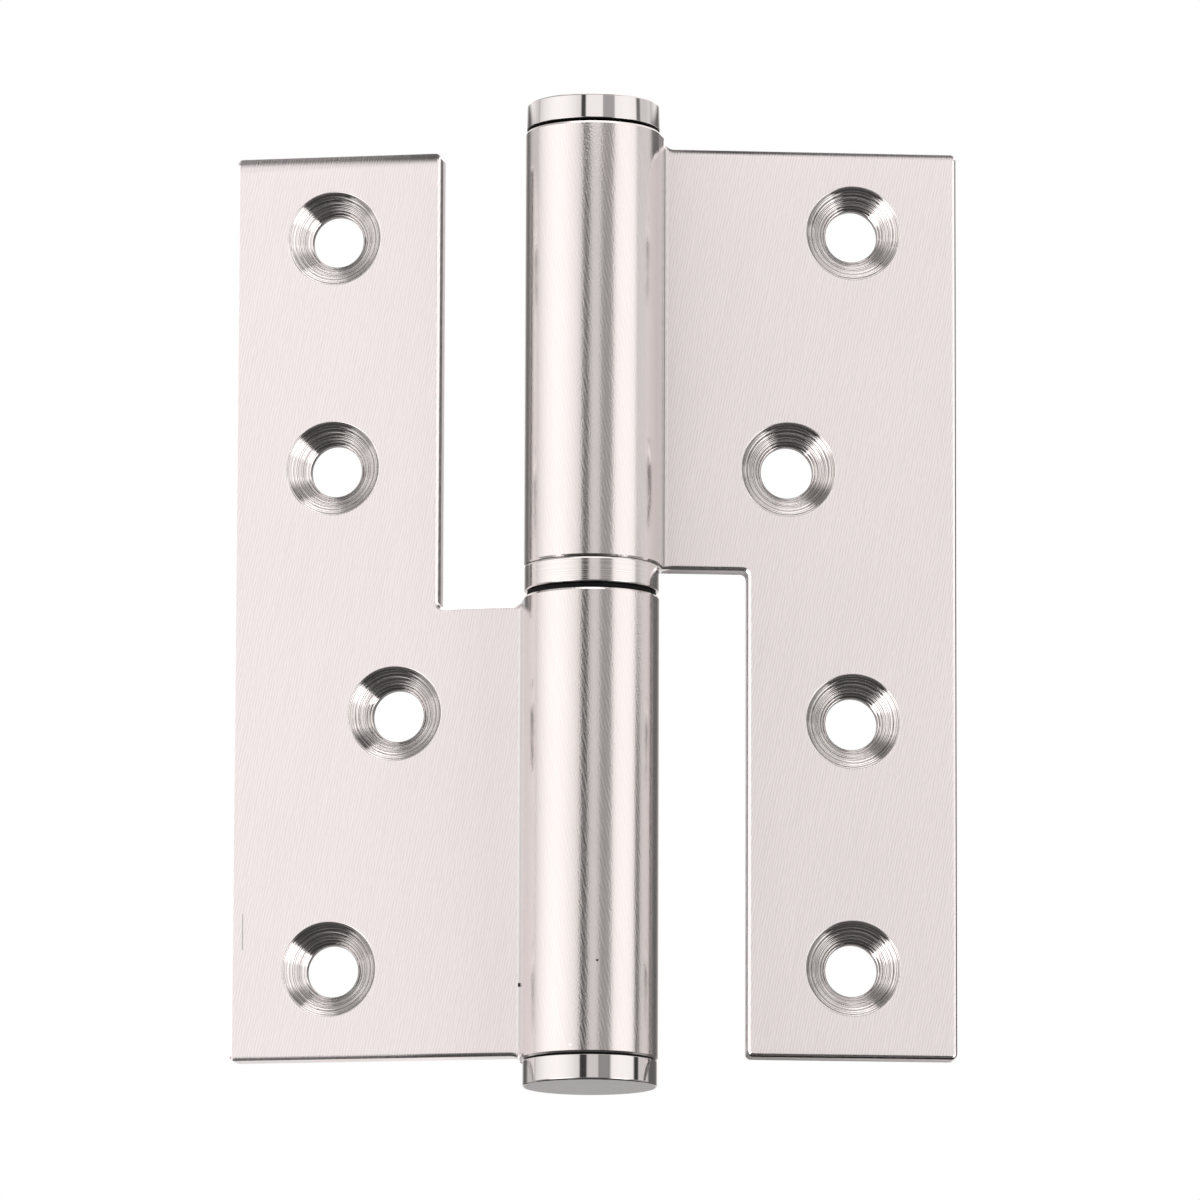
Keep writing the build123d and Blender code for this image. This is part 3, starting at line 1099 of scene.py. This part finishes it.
@dataclass(frozen=True)
class LightTent:
    """White tent round the hinge that only reflections see, with soft boxes and dark gaps round the camera."""

    facing: float                  # camera's azimuth in degrees
    radius: float = 0.6            # in metres
    tint: Colour = (1.0, 0.955, 0.945, 1.0)
    strength: float = 1.4
    ground: float = 0.05
    apron: float = 0.17            # ground between the hinge and the camera
    brow: float = 0.06             # dark band over the walls, round the camera and at the sides
    brow_left: float = 0.5
    brow_right: float = 0.95
    overhead: float = 1.5          # panel straight above
    crest_left: float = 0.95       # top of the walls, either side of the camera
    crest_right: float = 1.2
    foot: float = 1.7              # low panels beside the camera, and the dimmer ones farther round
    foot_side: float = 0.3
    crest_rise: Point = (23.0, 25.0)   # elevations over which each part takes over
    brow_rise: Point = (22.0, 45.0)
    overhead_rise: Point = (62.0, 68.0)
    foot_rise: Point = (-16.0, -6.0)
    apron_rise: Point = (-13.0, -2.0)
    ground_rise: Point = (-43.0, -39.0)
    gap: float = 0.12              # the wall between the soft boxes
    boxes: tuple[SoftBox, ...] = (
        SoftBox(180.0, 20.0, 0.6, edge=20.0),                  # behind the hinge
        SoftBox(-120.0, 15.0, 0.55, edge=14.0),                # left, towards the back
        SoftBox(-62.0, 45.0, 1.1, falloff=0.35),               # large one on the left
        SoftBox(-11.0, 5.5, 0.05, edge=3.0, top=10.0),         # dark stand beside the lens
        SoftBox(5.0, 10.0, 0.66),                              # card on the lens's other side
        SoftBox(24.0, 9.0, 0.3, edge=6.0),                     # its dim edge
        SoftBox(58.0, 23.0, 1.05, falloff=0.1, edge=7.0),      # large one on the right
        SoftBox(100.0, 18.0, 0.65, edge=10.0),                 # right, towards the back
        SoftBox(86.0, 5.0, 0.05, top=8.0),                     # stand between the two
        SoftBox(180.0, 60.0, 0.95, edge=40.0, bottom=19.5),    # upper rows
        SoftBox(2.0, 15.0, 0.97, bottom=19.5),
        SoftBox(-17.5, 3.5, 0.06, edge=3.0, bottom=19.5),
        SoftBox(27.0, 10.0, 0.4, bottom=19.5),
        SoftBox(85.0, 4.0, 0.18, bottom=19.5),
    )

    def material(self) -> bpy.types.Material:
        """Make the tent's glow.

        Returns:
            A material that gives off light by direction.
        """
        made, graph = blank_material("tent_glow")
        turn = math.radians(self.facing)
        spot = graph.spot()
        right = spot.dot((math.cos(turn), math.sin(turn), 0.0))
        ahead = spot.dot((math.sin(turn), -math.cos(turn), 0.0))
        azimuth = right.math("ARCTAN2", ahead) * (180 / math.pi)
        aside = azimuth.math("ABSOLUTE")
        elevation = (spot.dot((0.0, 0.0, 1.0)) / self.radius).math("ARCSINE") * (180 / math.pi)
        glow = graph.node("ShaderNodeValue")
        glow.socket.default_value = self.gap
        for box in self.boxes:
            glow = box.over(glow, azimuth, elevation)
        crest = graph.blend(azimuth.ramp(-40.0, 30.0), grey(self.crest_left), grey(self.crest_right))
        glow = graph.blend(elevation.ramp(*self.crest_rise) * (1 - aside.ramp(60.0, 90.0)), glow, crest)
        brow = graph.blend(azimuth.ramp(-30.0, 30.0), grey(self.brow_left), grey(self.brow_right))
        brow = graph.blend(aside.ramp(46.0, 70.0), grey(self.brow), brow)
        glow = graph.blend(elevation.ramp(*self.brow_rise), glow, brow)
        glow = graph.blend(elevation.ramp(*self.overhead_rise), glow, grey(self.overhead))
        front = azimuth.ramp(-40.0, -8.0) * (1 - azimuth.ramp(30.0, 44.0))
        beside = (1 - front) * (1 - aside.ramp(110.0, 130.0))
        foot = graph.blend(aside.ramp(66.0, 80.0), grey(self.foot), grey(self.foot_side))
        glow = graph.blend(beside * (1 - elevation.ramp(*self.foot_rise)), glow, foot)
        glow = graph.blend(front * (1 - elevation.ramp(*self.apron_rise)), glow, grey(self.apron))
        glow = graph.blend(elevation.ramp(*self.ground_rise), grey(self.ground), glow)
        glow = graph.blend(1.0, glow, self.tint, "MULTIPLY")
        graph.surface(graph.node("ShaderNodeEmission", {}, {"Color": glow, "Strength": self.strength}))
        made.cycles.emission_sampling = "NONE"
        return made

    def build(self) -> None:
        """Put the tent round the hinge, out of the camera's sight."""
        work = bmesh.new()
        bmesh.ops.create_uvsphere(work, u_segments=96, v_segments=48, radius=self.radius)
        tent = added("light_tent", written("light_tent", work))
        tent.data.materials.append(self.material())
        tent.visible_camera = False
        tent.visible_shadow = False


@dataclass(frozen=True)
class Studio:
    """White surroundings, the light tent, a pale floor and the camera."""

    facing: float = 10.02          # camera's azimuth in degrees
    camera_place: tuple[float, float, float] = (243.15, -1376.48, -234.76)
    pitch: float = -9.515
    yaw: float = 1.129
    roll: float = 0.213
    frame_turn: float = 8.841      # the lower leaf's sweep, which the frame turns out
    lens: float = 308.0
    floor_level: float = -68.3
    floor_radius: float = 3.0      # in metres, as is the distance over which it fades
    floor_fade: Point = (0.25, 1.1)

    def light(self) -> None:
        """Set the world: white to the camera, plain light to every other ray."""
        world = bpy.data.worlds.new("studio")
        world.use_nodes = True
        bpy.context.scene.world = world
        graph = Graph(world.node_tree)
        path = graph.node("ShaderNodeLightPath")
        seen = path.other("Is Camera Ray") + path.other("Is Glossy Ray") + path.other("Is Transmission Ray")
        shown = graph.blend(seen, grey(0.9), grey(1.0))
        background = graph.node("ShaderNodeBackground", {}, {"Color": shown, "Strength": 1.0})
        graph.node("ShaderNodeOutputWorld", {}, {"Surface": background})

    def floor(self) -> None:
        """Pale floor under the hinge that fades into the white and is open from below."""
        work = bmesh.new()
        bmesh.ops.create_circle(work, cap_ends=True, segments=96, radius=self.floor_radius)
        bmesh.ops.translate(work, vec=(0, 0, self.floor_level * MM), verts=work.verts)
        made, graph = blank_material("pale_floor")
        spot = graph.spot()
        distance = graph.node("ShaderNodeVectorMath", {"operation": "LENGTH"}, {0: spot}, "Value")
        under = graph.node("ShaderNodeNewGeometry", {}, {}, "Backfacing")
        hidden = distance.ramp(*self.floor_fade).math("MAXIMUM", under)
        grain = graph.noise(spot, (0.02,) * 3)
        paint = graph.node("ShaderNodeBsdfDiffuse", {}, {"Color": graph.blend(grain, grey(0.9), grey(0.93))})
        open_air = graph.node("ShaderNodeBsdfTransparent")
        graph.surface(graph.node("ShaderNodeMixShader", {}, {0: hidden, 1: paint, 2: open_air}))
        floor = added("floor", written("floor", work))
        floor.data.materials.append(made)
        floor.visible_glossy = False
        floor.visible_shadow = False

    def camera(self) -> None:
        """Camera at the photograph's place, by its pitch, yaw and roll."""
        data = bpy.data.cameras.new("camera")
        data.lens, data.sensor_width, data.sensor_fit = self.lens, 36.0, "HORIZONTAL"
        view = (
            Matrix.Rotation(math.radians(self.roll), 3, "Z")
            @ Matrix.Rotation(math.radians(self.pitch), 3, "X")
            @ Matrix.Rotation(math.radians(self.yaw), 3, "Y")
            @ Matrix(((1, 0, 0), (0, 0, -1), (0, 1, 0)))
            @ Matrix.Rotation(math.radians(-self.frame_turn), 3, "Z")
        )
        turn = view.transposed() @ Matrix.Diagonal((1, -1, -1))
        camera = added("camera", data)
        camera.matrix_world = Matrix.Translation(Vector(self.camera_place) * MM) @ turn.to_4x4()
        bpy.context.scene.camera = camera

    def build(self) -> None:
        """Set light, floor and camera, with plain colour handling."""
        bpy.context.scene.view_settings.view_transform = "Standard"
        self.light()
        LightTent(self.facing).build()
        self.floor()
        self.camera()


def main() -> None:
    """Build the hinge's pieces in order, then the studio."""
    logging.basicConfig(level=logging.INFO, format="%(name)s: %(message)s")
    shop = Shop()
    sheet = BrushedSheet(
        "satin_sheet",
        pale=(0.985, 0.945, 0.945, 1.0),
        dark=(0.86, 0.825, 0.825, 1.0),
        roughness=0.5,
        spread=0.8,
        marks=(
            # painted highlights: the two white upright lines beside the seams of the rolled knuckles, each next to
            # the seam's dark line
            Mark(40.5, -32.0, 0.22, 61.0, grey(1.0)),
            Mark(40.74, -32.0, 0.16, 61.0, grey(0.75)),
            Mark(-40.72, 34.0, 0.2, 59.0, grey(0.42)),
            Mark(-40.3, 34.0, 0.14, 59.0, grey(1.0)),
            Mark(1.82, -45.6, 0.13, 5.0, grey(0.45)),
            Mark(-82.4, 14.0, 0.14, 4.5, grey(0.3)),
            Mark(40.7, -53.7, 0.3, 0.55, grey(0.02)),
            Mark(73.2, -51.8, 0.26, 0.26, grey(0.03)),
            Mark(76.1, -63.4, 0.35, 0.35, grey(0.85)),
        ),
    )
    sink = TurnedSteel(
        "turned_sink",
        pale=(0.9, 0.88, 0.87, 1.0),
        dark=(0.5, 0.485, 0.48, 1.0),
        roughness=0.07,
        spacing=0.26,
        depth=0.018,
        contrast=0.7,
        bore_shade_start=4.05,
    )
    polish = PolishedSteel("buffed_cap", pale=(0.66, 0.65, 0.645, 1.0), dark=(0.6, 0.59, 0.585, 1.0), roughness=0.05)
    cap_end = TurnedSteel("matt_cap_end", pale=(0.7, 0.7, 0.71, 1.0), dark=(0.58, 0.58, 0.59, 1.0), roughness=0.45)
    # painted shade: near-black steel in the caps' grooves stands in for the shade deep in the narrow gap
    groove_shade = TurnedSteel("painted_groove_shade", pale=(0.05, 0.048, 0.046, 1.0), dark=(0.03, 0.028, 0.027, 1.0), roughness=0.6)
    ring = TurnedSteel(
        "ring_satin", pale=(0.73, 0.71, 0.7, 1.0), dark=(0.63, 0.61, 0.6, 1.0), roughness=0.16, depth=0.0004
    )
    ground = TurnedSteel(
        "ground_pin", pale=(0.8, 0.78, 0.76, 1.0), dark=(0.62, 0.6, 0.58, 1.0), roughness=0.18, depth=0.001
    )

    RolledLeaf(
        body=Body.LOWER,
        holes=((36.8, 51.8), (36.8, 19.2), (27.8, -15.5), (36.8, -51.0)),
        knuckle_end=-64.4,
        knuckle_seat=-0.2,
        arm_edge=-0.8,
    ).build(shop, sheet, sink)
    RolledLeaf(
        body=Body.UPPER,
        holes=((36.4, 52.1), (27.4, 18.5), (36.4, -16.7), (36.4, -51.1)),
        knuckle_end=65.2,
        knuckle_seat=4.2,
        arm_edge=4.2,
        swing=14.5,
        top_roll=EdgeRoll(0.95, 0.2, EdgeShape.DROOP),
        outer_cut_and_shade=1.4,
    ).build(shop, sheet, sink)
    HingePin("hinge_pin", Body.LOWER, Slot.PIN).build(shop, ground)
    Collar("thrust_washer", Body.LOWER, Slot.NYLON, bottom=-0.2, top=0.57, outer=8.9, edge=0.15).build(shop, Nylon())
    Collar("bearing_ring", Body.RING, Slot.RING, bottom=0.6, top=4.12, edge=0.25, foot=0.28).build(shop, ring)
    EndCap("top_cap", Body.UPPER, Slot.CAPS, seat=65.2, taper=0.09).build(shop, polish, cap_end, groove_shade)
    EndCap("bottom_cap", Body.LOWER, Slot.CAPS, seat=-64.4, way=-1.0, groove=0.25).build(shop, polish, cap_end, groove_shade)
    Studio().build()


if __name__ == "__main__":
    main()
